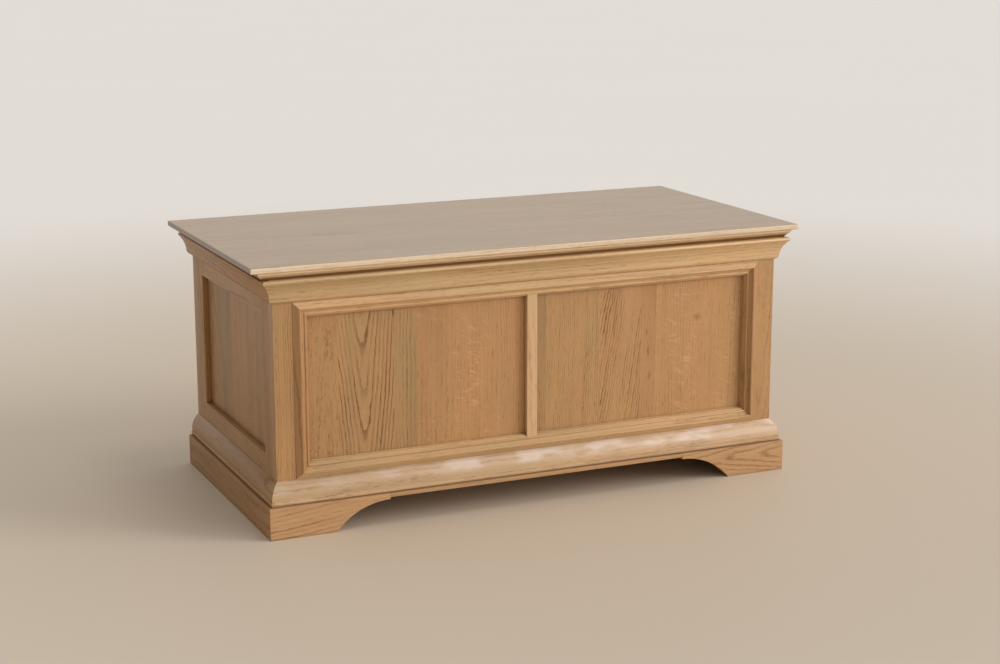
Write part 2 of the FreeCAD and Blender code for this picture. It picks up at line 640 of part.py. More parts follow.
LOWER_X = "(%s - dim.plate_thick - dim.arm_gap - dim.arm_thick)" % INNER
UPPER_X = "(%s - dim.arm_gap - dim.arm_thick)" % LOWER_X
EAR_X = "(%s - dim.arm_gap - dim.plate_thick)" % UPPER_X
LOW_Y, LOW_Z = "(%s - dim.stay_low_forward)" % AXIS_Y, "(%s - dim.stay_low_drop)" % AXIS_Z
LID_Y, LID_Z = "(%s - dim.stay_lid_forward)" % AXIS_Y, "(%s - dim.stay_lid_drop)" % AXIS_Z
ELBOW_Y, ELBOW_Z = "(%s - dim.stay_lid_forward)" % LOW_Y, "(%s - dim.stay_lid_drop)" % LOW_Z


def stay_arm(forward, drop, first_hole, last_hole, x, y, z):
    """A flat bar with round ends, from a pivot at the given point to one that lies the given
    distances further forward and down. A hole of no radius is left out."""
    length = "sqrt(%s ^ 2 + %s ^ 2)" % (forward, drop)
    ends = ("0", "-(%s)" % length)
    parts = [box("0", "dim.arm_thick", ends[1], "0", "-dim.arm_width / 2", "dim.arm_width / 2")]
    parts += [cylinder("dim.arm_width / 2", "dim.arm_thick", "0", end, "0", "x") for end in ends]
    holes = [cylinder(radius, "dim.arm_thick + 2 * dim.spare", "-dim.spare", end, "0", "x")
             for radius, end in zip((first_hole, last_hole), ends) if radius]
    arm = group([cut(fuse(parts), *holes)])
    arm.Placement = Placement(Vector(), Rotation(Vector(1, 0, 0), 1))
    arm.setExpression("Placement.Rotation.Angle", "atan(%s / %s)" % (drop, forward))
    return at(arm, x, y, z)


def rivet(x0, x1, y, z):
    """A rivet along X from x0 to x1 with its head at x0."""
    shank = cylinder("dim.rivet_radius", "%s - (%s)" % (x1, x0), x0, y, z, "x")
    head = cylinder("dim.rivet_head", "dim.rivet_head_thick", "%s - dim.rivet_head_thick" % x0, y, z, "x")
    return fuse([shank, head])


def stay_lower():
    """The lower arm, with the elbow rivet fixed in it."""
    arm = stay_arm("dim.stay_lid_forward", "dim.stay_lid_drop",
                   "dim.rivet_radius + dim.rivet_clearance", None, LOWER_X, LOW_Y, LOW_Z)
    elbow = rivet("%s - dim.rivet_play" % UPPER_X, "%s + dim.arm_thick" % LOWER_X, ELBOW_Y, ELBOW_Z)
    node("stay_lower", fuse([arm, elbow]))


def stay_upper():
    """The upper arm, which turns freely on the elbow rivet and on the stud of the lid plate."""
    node("stay_upper", stay_arm("dim.stay_low_forward", "dim.stay_low_drop",
                                "dim.rivet_radius + dim.open_pivot_clearance",
                                "dim.rivet_radius + dim.rivet_clearance", UPPER_X, LID_Y, LID_Z))


def stay_wall_plate():
    """The plate on the inside of the right wall, with the lower pivot, and its screws."""
    face = "(%s - dim.plate_thick)" % INNER
    plate = box(face, INNER,
                "%s - dim.wall_plate_width / 2" % LOW_Y, "%s + dim.wall_plate_width / 2" % LOW_Y,
                "%s - dim.wall_plate_height / 2" % LOW_Z, "%s + dim.wall_plate_height / 2" % LOW_Z)
    pivot = rivet("%s - dim.rivet_play" % LOWER_X, INNER, LOW_Y, LOW_Z)
    screws = [screw(face, LOW_Y, "%s %s dim.wall_screw_spacing / 2" % (LOW_Z, sign), "x") for sign in "+-"]
    return fuse([plate, pivot]), screws


def stay_lid_plate():
    """The angle plate under the lid, with the stud of the upper pivot, and its screws."""
    face, inner = "(%s - dim.plate_thick)" % BOARD_BOTTOM, "(%s + dim.plate_thick)" % EAR_X
    ear = box(EAR_X, inner, "%s - dim.ear_width / 2" % LID_Y, "%s + dim.ear_width / 2" % LID_Y,
              "%s - dim.ear_below_pivot" % LID_Z, BOARD_BOTTOM)
    foot = box("%s - dim.lid_plate_reach" % EAR_X, inner, "%s - dim.lid_plate_length / 2" % LID_Y,
               "%s + dim.lid_plate_length / 2" % LID_Y, face, BOARD_BOTTOM)
    stud = cylinder("dim.rivet_radius", "dim.plate_thick + dim.arm_gap + dim.arm_thick",
                    EAR_X, LID_Y, LID_Z, "x")
    screws = [screw("%s - dim.lid_plate_screw_in" % EAR_X,
                    "%s %s dim.lid_plate_screw_spacing / 2" % (LID_Y, sign), face, "z") for sign in "+-"]
    return fuse([ear, foot, stud]), screws


# ---- the whole chest ----


def build_lid(lid_screws, lid_leaves, lid_plate, leaf_pockets):
    """Everything that turns with the lid: boards, edge strips, battens and fittings."""
    blank = lid_blank()
    width = "((%s - (%s)) / %d)" % (LID_BACK, LID_FRONT, LID_BOARDS)
    for i in range(LID_BOARDS):
        strip = box("-%s - dim.spare" % LID_HALF, "%s + dim.spare" % LID_HALF,
                    "%s + %d * %s" % (LID_FRONT, i, width), "%s + %d * %s" % (LID_FRONT, i + 1, width),
                    "%s - dim.spare" % BOARD_BOTTOM, "%s + dim.spare" % LID_TOP)
        node("lid_board_%d" % (i + 1), cut(common(blank, strip), lid_screws))
    strips, back_strip = lid_frame()
    for side, strip in zip(("front", "left", "right"), strips):
        node("lid_frame_%s" % side, strip)
    node("lid_frame_back", cut(back_strip, leaf_pockets, lid_screws))
    node("lid_battens", cut(group(lid_battens()), lid_screws))
    node("hinge_leaves_lid", cut(group(lid_leaves), lid_screws))
    node("stay_plate_lid", cut(lid_plate, lid_screws))
    node("lid_screws", lid_screws)


def build():
    panel_mouldings(front_frame())
    node("side_stile_back_left", side_frame("left", -1))
    right_stile = side_frame("right", 1)
    back_frame()
    cornice()
    base_moulding()
    plinth()
    chest_floor()
    stay_lower()
    stay_upper()

    wall_plate, wall_screws = stay_wall_plate()
    lid_plate, lid_plate_screws = stay_lid_plate()
    carcass_leaves, lid_leaves, pins = hinge_parts()
    carcass_screws = group(hinge_screws("dim.carcass_top", "-z") + wall_screws)
    lid_screws = group(hinge_screws(LID_BOTTOM, "z") + lid_plate_screws + batten_screws())
    leaf_pockets = group([box("%d * dim.hinge_spacing - dim.hinge_length / 2" % side,
                              "%d * dim.hinge_spacing + dim.hinge_length / 2" % side,
                              "%s - dim.leaf_width" % LID_BACK, "%s + dim.spare" % LID_BACK,
                              "dim.carcass_top - dim.leaf_thick", "%s + dim.leaf_thick" % LID_BOTTOM)
                          for side in (-1, 1)])

    node("side_stile_back_right", cut(right_stile, carcass_screws))
    rail_behind = box("-%s" % HALF, HALF, BACK, LID_BACK, "dim.cornice_bottom", "dim.carcass_top")
    node("hinge_rail", cut(rail_behind, leaf_pockets, carcass_screws))
    node("hinge_leaves_carcass", cut(group(carcass_leaves), carcass_screws))
    node("hinge_pins", group(pins))
    node("stay_plate_carcass", cut(wall_plate, carcass_screws))
    node("carcass_screws", carcass_screws)
    build_lid(lid_screws, lid_leaves, lid_plate, leaf_pockets)


def check_and_write():
    doc.recompute()
    faults = [o.Label for o in doc.Objects if {"Invalid", "Error"} & set(o.State)]
    faults += [o.Label for o in nodes if o.Shape.isNull() or not o.Shape.isValid()]
    if faults:
        raise RuntimeError("these objects failed: %s" % faults)
    os.makedirs("parts", exist_ok=True)
    for piece in nodes:
        piece.Shape.exportStep("parts/%s.step" % piece.Label)
        size = piece.Shape.BoundBox
        print("%-24s %d solids  %8.1f cm3  x %.1f..%.1f y %.1f..%.1f z %.1f..%.1f" % (
            piece.Label, len(piece.Shape.Solids), piece.Shape.Volume / 1000,
            size.XMin, size.XMax, size.YMin, size.YMax, size.ZMin, size.ZMax))
    print(len(nodes), "nodes")


build()
check_and_write()
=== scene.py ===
import math

import bpy
from mathutils import Matrix, Vector


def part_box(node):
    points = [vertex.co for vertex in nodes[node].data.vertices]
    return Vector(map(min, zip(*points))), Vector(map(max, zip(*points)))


# Looks for an oak blanket chest: figured oak on every board, brass hinges and lid stay,
# a plain pale floor, soft studio light and the camera. Lengths are in metres, and colours are
# linear light.

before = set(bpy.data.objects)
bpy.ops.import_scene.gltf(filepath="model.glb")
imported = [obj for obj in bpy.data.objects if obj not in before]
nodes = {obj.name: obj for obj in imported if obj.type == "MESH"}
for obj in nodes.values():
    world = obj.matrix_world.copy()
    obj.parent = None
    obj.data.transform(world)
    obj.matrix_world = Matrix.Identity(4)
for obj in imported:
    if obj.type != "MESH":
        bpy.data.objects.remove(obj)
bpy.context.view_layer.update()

# ---- node graphs ----


class Graph:
    """A short way to write node trees: each call adds a node and gives back its first output."""

    def __init__(self, tree):
        self.tree = tree

    def add(self, kind, inputs=(), **settings):
        made = self.tree.nodes.new("ShaderNode" + kind)
        for name, value in settings.items():
            setattr(made, name, value)
        for name, value in dict(inputs).items():
            if isinstance(value, bpy.types.NodeSocket):
                self.tree.links.new(value, made.inputs[name])
            else:
                made.inputs[name].default_value = value
        return made

    def math(self, operation, a, b=0.0, clamp=False):
        return self.add("Math", {0: a, 1: b}, operation=operation, use_clamp=clamp).outputs[0]

    def total(self, *terms):
        result = terms[0]
        for term in terms[1:]:
            result = self.math("ADD", result, term)
        return result

    def scaled(self, value, factor, offset=0.0):
        made = self.add("Math", {0: value, 1: factor, 2: offset}, operation="MULTIPLY_ADD")
        return made.outputs[0]

    def span(self, value, low, high, to_low=0.0, to_high=1.0, smooth=True):
        kind = "SMOOTHSTEP" if smooth else "LINEAR"
        made = self.add("MapRange", {0: value, 1: low, 2: high, 3: to_low, 4: to_high},
                        interpolation_type=kind)
        return made.outputs[0]

    def vector(self, x, y, z):
        return self.add("CombineXYZ", {0: x, 1: y, 2: z}).outputs[0]

    def parts(self, vector):
        return self.add("SeparateXYZ", {0: vector}).outputs

    def stretched(self, place, scale, shift=(0.0, 0.0, 0.0)):
        """The place with each direction scaled on its own, for long or wide noise."""
        scaled = self.add("VectorMath", {0: place, 1: scale}, operation="MULTIPLY").outputs[0]
        return self.add("VectorMath", {0: scaled, 1: shift}, operation="ADD").outputs[0]

    def noise(self, place, scale, shift=(0.0, 0.0, 0.0), detail=2.0, rough=0.5, distortion=0.0):
        inputs = {"Vector": self.stretched(place, scale, shift), "Scale": 1.0, "Detail": detail,
                  "Roughness": rough, "Distortion": distortion}
        return self.add("TexNoise", inputs).outputs[0]

    def swing(self, place, scale, amount, **settings):
        """Noise about zero, times an amount."""
        return self.scaled(self.noise(place, scale, **settings), amount, -0.5 * amount)

    def ramp(self, factor, stops, interpolation="LINEAR"):
        made = self.add("ValToRGB", {0: factor})
        band = made.color_ramp
        band.interpolation = interpolation
        while len(band.elements) < len(stops):
            band.elements.new(1.0)
        for element, (position, colour) in zip(band.elements, stops):
            element.position = position
            element.color = (*colour, 1.0)
        return made.outputs[0]

    def mix(self, factor, a, b, blend="MIX"):
        """Two colours mixed; each is a socket or three numbers."""
        first, second = (c if isinstance(c, bpy.types.NodeSocket) else (*c, 1.0) for c in (a, b))
        made = self.add("Mix", {0: factor, 6: first, 7: second}, data_type="RGBA", blend_type=blend)
        return made.outputs[2]

    def colour(self, red, green, blue):
        return self.add("CombineColor", {0: red, 1: green, 2: blue}).outputs[0]


def grey(value):
    return (value, value, value)


def wood_group():
    """Solid oak. Place is (along the grain, across the board, into the board) in metres.
    The growth rings are cones round a pith at Pith across and Depth behind the surface, which
    a flat board cuts into arches; Fleck adds the pale marks of a quarter-sawn board."""
    tree = bpy.data.node_groups.new("oak", "ShaderNodeTree")
    tree.interface.new_socket("Place", in_out="INPUT", socket_type="NodeSocketVector")
    for name in ("Tone", "Fleck", "Pith", "Depth", "Taper", "Spacing", "Jag", "Contrast"):
        tree.interface.new_socket(name, in_out="INPUT", socket_type="NodeSocketFloat")
    for name in ("Lines", "Shade", "Pale", "Height"):
        tree.interface.new_socket(name, in_out="OUTPUT", socket_type="NodeSocketFloat")
    g = Graph(tree)
    given = tree.nodes.new("NodeGroupInput").outputs
    place = given["Place"]
    along, across, deep = g.parts(place)[:3]

    # Growth rings: pale late wood with a dark porous start to each year.
    bend = g.swing(place, (2.0, 3.0, 3.0), 0.030, detail=1.0)
    wobble = g.swing(place, (13.0, 26.0, 26.0), 0.0065, detail=2.5)
    jag = g.math("MULTIPLY", g.swing(place, (75.0, 210.0, 210.0), 0.0030, detail=1.0), given["Jag"])
    side = g.total(g.math("SUBTRACT", across, given["Pith"]), bend)
    back = g.math("ADD", deep, given["Depth"])
    radius = g.math("SQRT", g.total(g.math("MULTIPLY", side, side), g.math("MULTIPLY", back, back)))
    cone = g.total(radius, g.math("MULTIPLY", along, given["Taper"]), wobble, jag)
    ring = g.math("DIVIDE", cone, given["Spacing"])
    share = g.math("FRACT", ring)
    strength = g.add("TexWhiteNoise", {"W": g.math("FLOOR", ring)}, noise_dimensions="1D")
    strength = strength.outputs[0]
    early = g.ramp(share, [(0.0, grey(1.0)), (0.16, grey(0.85)), (0.36, grey(0.16)),
                           (0.80, grey(0.04)), (0.96, grey(0.35)), (1.0, grey(1.0))])
    patchy = g.noise(place, (5.0, 16.0, 16.0), (3.1, 7.7, 1.9), detail=2.0)
    patchy = g.span(patchy, 0.32, 0.64, 0.20, 1.0)
    strong = g.math("MULTIPLY", g.scaled(strength, 0.8, 0.2), patchy)
    rings = g.math("MULTIPLY", g.math("MULTIPLY", early, strong), given["Contrast"])

    # Open pores, fine streaks, and lighter and darker bands and clouds.
    pores = g.span(g.noise(place, (55.0, 620.0, 620.0), (5.3, 1.1, 8.2), detail=1.0), 0.56, 0.68)
    pores = g.math("MULTIPLY", pores, g.scaled(early, 0.7, 0.3))
    streaks = g.swing(place, (4.0, 260.0, 260.0), 1.0, shift=(1.7, 4.2, 6.6), detail=3.0,
                      rough=0.65)
    bands = g.swing(place, (1.6, 60.0, 60.0), 1.0, shift=(9.7, 2.2, 0.6), detail=2.0, rough=0.6)
    mottle = g.swing(place, (7.0, 24.0, 24.0), 1.0, shift=(2.9, 8.8, 3.4), detail=3.0, rough=0.55)
    cloud = g.swing(place, (1.4, 5.5, 5.5), 1.0, shift=(6.1, 0.4, 5.0), detail=2.0)

    # Ray flecks, short and wavy, in patches.
    wave = g.swing(place, (16.0, 30.0, 30.0), 0.018, shift=(1.2, 5.1, 0.7), detail=2.0)
    flecks = g.noise(g.vector(g.total(along, g.scaled(across, 0.35), wave), across, deep),
                     (125.0, 34.0, 34.0), (4.4, 9.1, 2.2), detail=2.5, distortion=1.3)
    flecks = g.span(flecks, 0.51, 0.70)
    where = g.span(g.noise(place, (6.0, 22.0, 22.0), (8.8, 3.3, 7.1), detail=2.0), 0.36, 0.62)
    pale = g.math("MULTIPLY", g.math("MULTIPLY", flecks, where), given["Fleck"])

    lines = g.total(g.math("MULTIPLY", rings, 0.66), g.math("MULTIPLY", pores, 0.38),
                    g.math("MULTIPLY", streaks, 0.44))
    shade = g.total(given["Tone"], g.math("MULTIPLY", bands, 0.45),
                    g.math("MULTIPLY", mottle, 0.62), g.math("MULTIPLY", cloud, 0.70))
    height = g.total(g.math("MULTIPLY", rings, -0.55), g.math("MULTIPLY", pores, -0.75),
                     g.math("MULTIPLY", streaks, 0.45), g.math("MULTIPLY", mottle, 0.5))
    out = tree.nodes.new("NodeGroupOutput").inputs
    for name, value in (("Lines", lines), ("Shade", shade), ("Pale", pale), ("Height", height)):
        tree.links.new(value, out[name])
    return tree


OAK = wood_group()

# What each board is cut from: the grain's axis, the axis across the board and the axis into it.
UPRIGHT_FRONT, UPRIGHT_SIDE = "zxy", "zyx"
LEVEL_FRONT, LEVEL_TOP, LEVEL_SIDE, CROSS_TOP = "xzy", "xyz", "yzx", "yxz"

# Clear wood, grain lines and quarter-sawn fleck.
OAK_LIGHT = (0.500, 0.276, 0.113)
OAK_LINE = (0.190, 0.072, 0.012)
OAK_FLECK = (0.590, 0.360, 0.175)
# The side boards' oak is darker and warmer than the front's: painted shade.
SIDE_PAINTED_SHADE = (0.455, 0.243, 0.088)
# The lid's oak is greyer: partly its own colour, partly painted sheen.
LID_OAK_AND_SHEEN = (0.470, 0.320, 0.190)
LID_LINE = (0.220, 0.115, 0.050)
PINE_LIGHT = (0.700, 0.500, 0.270)
PINE_LINE = (0.470, 0.260, 0.095)
PINE_FLECK = (0.760, 0.600, 0.380)
# Painted shade for corners between boards.
PAINTED_CORNER_SHADE = (0.120, 0.055, 0.015)
# The pale colour of the painted highlight clouds.
SHEEN_PATCH_COLOUR = (0.840, 0.700, 0.600)

# The lid's moulded edge: painted highlight on its upper part, painted sheen on its lower part, end
# grain darkened partly with painted shade, and grain lines.
EDGE_HIGHLIGHT = (0.900, 0.720, 0.510)
EDGE_SHEEN = (0.840, 0.610, 0.380)
END_GRAIN_AND_SHADE = (0.220, 0.130, 0.065)
EDGE_LINE = (0.340, 0.190, 0.080)


def hashed(text, salt=0):
    """A fixed number from 0 to 1 for a name."""
    total = 7 + salt * 131
    for letter in text:
        total = (total * 33 + ord(letter)) % 1000003
    return (total * 7919 % 1000003) / 1000003


def stave_stops(staves, keys, scales):
    """Stops of a stepped ramp, one for each stave of a panel, holding up to three of its values."""
    stops, start, whole = [], 0.0, sum(s["wide"] for s in staves)
    for stave in staves:
        values = [(stave[key] - low) / (high - low) for key, (low, high) in zip(keys, scales)]
        stops.append((start / whole, tuple(values)))
        start += stave["wide"]
    return stops


# What a stepped ramp holds for each stave, three values at a time, and each value's range.
STEPPED = (
    (("tone", "warmth", "fleck"), ((-1, 1), (-1, 1), (0, 2))),
    (("pith", "depth", "shift"), ((-0.8, 0.8), (0, 0.2), (0, 5))),
    (("taper", "contrast", "jag"), ((-0.4, 0.4), (0, 2), (0, 3))),
    (("spacing",) * 3, ((0, 0.01),) * 3),
)


def new_tree(material):
    material.use_nodes = True
    material.node_tree.nodes.clear()
    return material.node_tree


def oak(name, axes, tone=0.0, warmth=0.0, fleck=0.2, pith=0.0, depth=0.05, taper=0.06,
        spacing=0.006, jag=1.0, contrast=1.0, light=OAK_LIGHT, line=OAK_LINE, pale=OAK_FLECK,
        staves=None, marks=(), gloss=0.45, coat=0.12, bump=0.30, nose=0.0, painted_corner_shade=0.60, painted_sheen=0.0):
    """A board's material. Pith is measured across from the middle of the board, and depth behind
    it. With staves, the board is glued up from strips that differ, and each strip's pith is a
    place. A mark is a knot or stain: along, across, half length, half width, strength. Nose is
    the height of a moulded edge whose upright faces get painted sheen, palest at the top as a
    painted highlight, and whose end grain is darker, partly as painted shade. The last two
    settings give how strong the painted shade in corners between boards is, and how pale the
    clouds of painted highlight get."""
    material = bpy.data.materials.new(name)
    tree = new_tree(material)
    g = Graph(tree)
    place = g.add("TexCoord").outputs["Object"]
    xyz = dict(zip("xyz", g.parts(place)[:3]))
    along, across, deep = (xyz[a] for a in axes)
    low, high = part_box(name)
    sides = ["xyz".index(a) for a in axes]
    middle = [(low[side] + high[side]) / 2 for side in sides]
    shift = round(3.0 * hashed(name, 1) - 1.5, 3)
    board = {"tone": tone, "warmth": warmth, "fleck": fleck, "pith": pith, "depth": depth,
             "taper": taper, "spacing": spacing, "jag": jag, "contrast": contrast}
    run, over, into = g.math("ADD", along, shift), across, g.math("SUBTRACT", deep, middle[2])
    if staves:
        where = g.span(across, low[sides[1]], high[sides[1]], smooth=False)
        for keys, scales in STEPPED:
            parts = g.parts(g.ramp(where, stave_stops(staves, keys, scales), "CONSTANT"))
            for key, part, (start, end) in zip(keys, parts, scales):
                board[key] = g.scaled(part, end - start, start)
        run = g.math("ADD", run, board.pop("shift"))
    else:
        over = g.math("SUBTRACT", across, middle[1])
    warmth = board.pop("warmth")
    wood = tree.nodes.new("ShaderNodeGroup")
    wood.node_tree = OAK
    tree.links.new(g.vector(run, over, into), wood.inputs["Place"])
    for key, value in board.items():
        if isinstance(value, bpy.types.NodeSocket):
            tree.links.new(value, wood.inputs[key.capitalize()])
        else:
            wood.inputs[key.capitalize()].default_value = value
    lines, shade, flecks, height = (wood.outputs[k] for k in ("Lines", "Shade", "Pale", "Height"))

    # Edges are rubbed a little paler, and corners between boards are darkened with painted shade
    # where ambient occlusion finds them closed in.
    geometry = g.add("NewGeometry")
    soft_normal = g.add("Bevel", {"Radius": 0.0016}, samples=4).outputs[0]
    square = g.add("VectorMath", {0: soft_normal, 1: geometry.outputs["Normal"]},
                   operation="DOT_PRODUCT").outputs["Value"]
    edge = g.span(square, 0.995, 0.90)
    touched = g.span(g.noise(place, (22.0, 22.0, 22.0), detail=3.0), 0.35, 0.65)
    worn = g.math("MULTIPLY", edge, touched)
    closed = g.add("AmbientOcclusion", {"Distance": 0.012}, samples=6).outputs["AO"]
    crevice_shade_and_dirt = g.span(closed, 0.30, 0.80, 1.0, 0.0)

    # The wood, then its stains, its shading and warmth, what wear has done to it, painted sheen on
    # moulded edges, and painted shade in corners.
    in_line = g.math("MULTIPLY", lines, 1.0, clamp=True)
    colour = g.mix(in_line, light, line)
    colour = g.mix(g.math("MULTIPLY", flecks, 0.55), colour, pale)
    ragged = g.swing(place, (90.0, 90.0, 90.0), 0.9, detail=2.0)
    for at_along, at_across, half_long, half_wide, strength in marks:
        far_along = g.scaled(along, 1 / half_long, -at_along / half_long)
        far_across = g.scaled(across, 1 / half_wide, -at_across / half_wide)
        far = g.math("SQRT", g.math("ADD", g.math("MULTIPLY", far_along, far_along),
                                    g.math("MULTIPLY", far_across, far_across)))
        stain = g.span(g.math("ADD", far, ragged), 1.2, 0.1, 0.0, strength)
        colour = g.mix(stain, colour, [c * 0.55 for c in line])
    brightness = g.scaled(shade, 0.42, 1.0)
    colour = g.mix(1.0, colour, g.colour(brightness, brightness, brightness), "MULTIPLY")
    patches = g.swing(g.vector(run, over, into), (3.5, 15.0, 15.0), 2.6, shift=(7.7, 3.9, 1.4),
                      detail=3.0)
    warm = g.math("ADD", patches, warmth)
    tint = g.colour(*(g.scaled(warm, amount, 1.0) for amount in (0.065, -0.02, -0.05)))
    colour = g.mix(1.0, colour, tint, "MULTIPLY")
    colour = g.mix(g.math("MULTIPLY", worn, 0.28), colour, [c * 1.35 for c in light])
    # The moulded edge: painted sheen on its upright faces, palest on the upper part as a painted
    # highlight, and darker end grain that is partly painted shade.
    if nose:
        facing = g.parts(geometry.outputs["Normal"])
        upright = g.span(facing[2], 0.97, 0.55)
        highlight_band = g.span(xyz["z"], high[2] - nose, high[2] - 0.6 * nose)
        end_face = g.span(g.math("ABSOLUTE", facing[0]), 0.4, 0.8)
        edge_sheen_and_shade = g.mix(end_face, g.mix(highlight_band, EDGE_SHEEN, EDGE_HIGHLIGHT), END_GRAIN_AND_SHADE)
        edge_sheen_and_shade = g.mix(in_line, edge_sheen_and_shade, EDGE_LINE)
        colour = g.mix(g.math("MULTIPLY", upright, 0.85), colour, edge_sheen_and_shade)
    # Painted highlight: pale clouds on the upper part of the moulding, fainter towards its left
    # end.
    if painted_sheen:
        sheen_patches = g.noise(place, (13.0, 40.0, 30.0), (2.2, 5.1, 0.3), detail=2.0)
        sheen_patches = g.span(sheen_patches, 0.44, 0.62, 0.15, painted_sheen)
        highlight_band = g.span(xyz["z"], low[2] + 0.017, low[2] + 0.028)
        highlight_band = g.math("MULTIPLY", highlight_band, g.span(along, -0.42, -0.12, 0.35, 1.0))
        colour = g.mix(g.math("MULTIPLY", sheen_patches, highlight_band), colour, SHEEN_PATCH_COLOUR)
    # Painted shade: corners and recesses between boards are darkened towards the corner colour.
    colour = g.mix(g.math("MULTIPLY", crevice_shade_and_dirt, painted_corner_shade), colour, PAINTED_CORNER_SHADE)

    rough = g.total(g.math("MULTIPLY", lines, 0.16), g.math("MULTIPLY", shade, -0.05),
                    g.math("MULTIPLY", crevice_shade_and_dirt, 0.2), gloss)
    bumped = g.add("Bump", {"Strength": bump, "Distance": 0.0006, "Height": height}).outputs[0]
    shader = g.add("BsdfPrincipled", {"Base Color": colour, "Roughness": rough, "Normal": bumped})
    shader.inputs["IOR"].default_value = 1.47
    shader.inputs["Coat Weight"].default_value = coat
    shader.inputs["Coat Roughness"].default_value = 0.30
    g.add("OutputMaterial", {"Surface": shader.outputs[0]})
    return material


def metal(name, base, dull, gloss, scratches):
    """Satin metal with tarnish in patches and fine drawn scratches."""
    material = bpy.data.materials.new(name)
    tree = new_tree(material)
    g = Graph(tree)
    place = g.add("TexCoord").outputs["Object"]
    patches = g.span(g.noise(place, (60.0, 60.0, 60.0), detail=5.0, rough=0.6), 0.42, 0.66)
    drawn = g.noise(place, (160.0, 900.0, 900.0), detail=2.0)
    closed = g.add("AmbientOcclusion", {"Distance": 0.004}, samples=6).outputs["AO"]
    crevice_shade_and_dirt = g.span(closed, 0.35, 0.9, 1.0, 0.0)
    colour = g.mix(g.math("MULTIPLY", patches, 0.55), base, dull)
    colour = g.mix(g.math("MULTIPLY", crevice_shade_and_dirt, 0.6), colour, [c * 0.25 for c in dull])
    rough = g.total(g.math("MULTIPLY", patches, 0.16), g.math("MULTIPLY", drawn, scratches), gloss)
    bumped = g.add("Bump", {"Strength": 0.25, "Distance": 0.0001, "Height": drawn}).outputs[0]
    shader = g.add("BsdfPrincipled", {"Base Color": colour, "Roughness": rough, "Normal": bumped})
    shader.inputs["Metallic"].default_value = 1.0
    g.add("OutputMaterial", {"Surface": shader.outputs[0]})
    return material


# ---- the boards ----


def stave(wide, tone=0.0, warmth=0.0, fleck=0.1, pith=0.0, depth=0.06, taper=0.02,
          contrast=0.7, jag=1.0, shift=0.0, spacing=0.0055):
    """One strip of a glued-up panel, wide in millimetres. Shift moves its figure along."""
    return dict(wide=wide, tone=tone, warmth=warmth, fleck=fleck, pith=pith, depth=depth,
                taper=taper, contrast=contrast, jag=jag, shift=shift / 5, spacing=spacing)


# The front panels' staves from left to right, in the order of stave()'s settings.
LEFT_STAVES = [
    stave(77, -0.10, 0.55, 0.20, -0.404, 0.022, 0.050, 1.00, 3.0, 0.50, 0.0050),
    stave(105, -0.06, -0.35, 0.05, -0.338, 0.017, -0.085, 1.80, 0.9, 1.75, 0.0068),
    stave(45, -0.20, -0.60, 0.05, -0.180, 0.090, 0.010, 0.90, 0.9, 3.00, 0.0050),
    stave(70, -0.06, 0.45, 1.10, -0.100, 0.150, 0.010, 0.50, 1.0, 1.00),
    stave(95, 0.05, 0.40, 1.50, 0.050, 0.160, 0.010, 0.40, 1.0, 4.25),
    stave(57, 0.15, 0.55, 0.50, 0.110, 0.120, 0.010, 0.80, 1.0, 2.50, 0.0045),
]
RIGHT_STAVES = [
    stave(29, -0.10, -0.80, 0.15, 0.120, 0.060, 0.010, 1.00, 1.8, 0.75, 0.0040),
    stave(113, 0.22, -0.20, 0.05, 0.240, 0.050, 0.012, 1.05, 1.7, 2.25, 0.0042),
    stave(86, 0.20, -0.05, 0.05, 0.095, 0.040, -0.160, 1.55, 1.5, 3.75, 0.0052),
    stave(33, -0.06, 0.55, 0.10, 0.300, 0.050, 0.020, 1.10, 1.4, 1.50, 0.0045),
    stave(75, 0.20, 0.50, 1.70, 0.050, 0.160, 0.010, 0.45, 1.0, 4.75),
    stave(133, 0.28, 0.25, 0.80, 0.550, 0.150, 0.010, 0.45, 1.0, 3.25),
]


def plain_staves(name, widths):
    """Staves for a panel at the side or the back, varied by name."""
    made = []
    for i, wide in enumerate(widths):
        r = [hashed(name, 10 * i + k) for k in range(6)]
        made.append(stave(wide, tone=0.5 * r[0] - 0.25, warmth=1.1 * r[1] - 0.5, fleck=0.7 * r[2],
                          pith=r[3] - 0.5, depth=0.02 + 0.10 * r[4], taper=0.16 * r[5] - 0.08,
                          contrast=0.6 + 0.8 * r[2], jag=1.0, shift=5 * r[3]))
    return made


# Panels glued up from staves, and how they are cut.
SPREAD = {
    "front_panel_left": (UPRIGHT_FRONT, LEFT_STAVES),
    "front_panel_right": (UPRIGHT_FRONT, RIGHT_STAVES),
    "side_panel_left": (UPRIGHT_SIDE, plain_staves("side_panel_left", (90, 60, 110, 72, 98))),
    "side_panel_right": (UPRIGHT_SIDE, plain_staves("side_panel_right", (80, 95, 60, 120, 75))),
    "back_panel": (UPRIGHT_FRONT,
                   plain_staves("back_panel", (100, 80, 130, 90, 110, 70, 120, 95, 120))),
}

# Knots and stains: along the grain, across it, half length, half width, strength.
MARKS = {
    "front_panel_left": [(0.3865, -0.281, 0.011, 0.0022, 0.8)],
    "front_panel_right": [
        (0.320, 0.346, 0.008, 0.010, 0.45), (0.262, 0.240, 0.012, 0.004, 0.5),
        (0.300, 0.236, 0.009, 0.003, 0.4), (0.215, 0.243, 0.010, 0.004, 0.4),
    ],
    "front_rail_top": [(0.446, 0.433, 0.010, 0.0012, 0.6)],
    "lid_board_1": [(-0.505, -0.277, 0.012, 0.006, 0.6)],
}

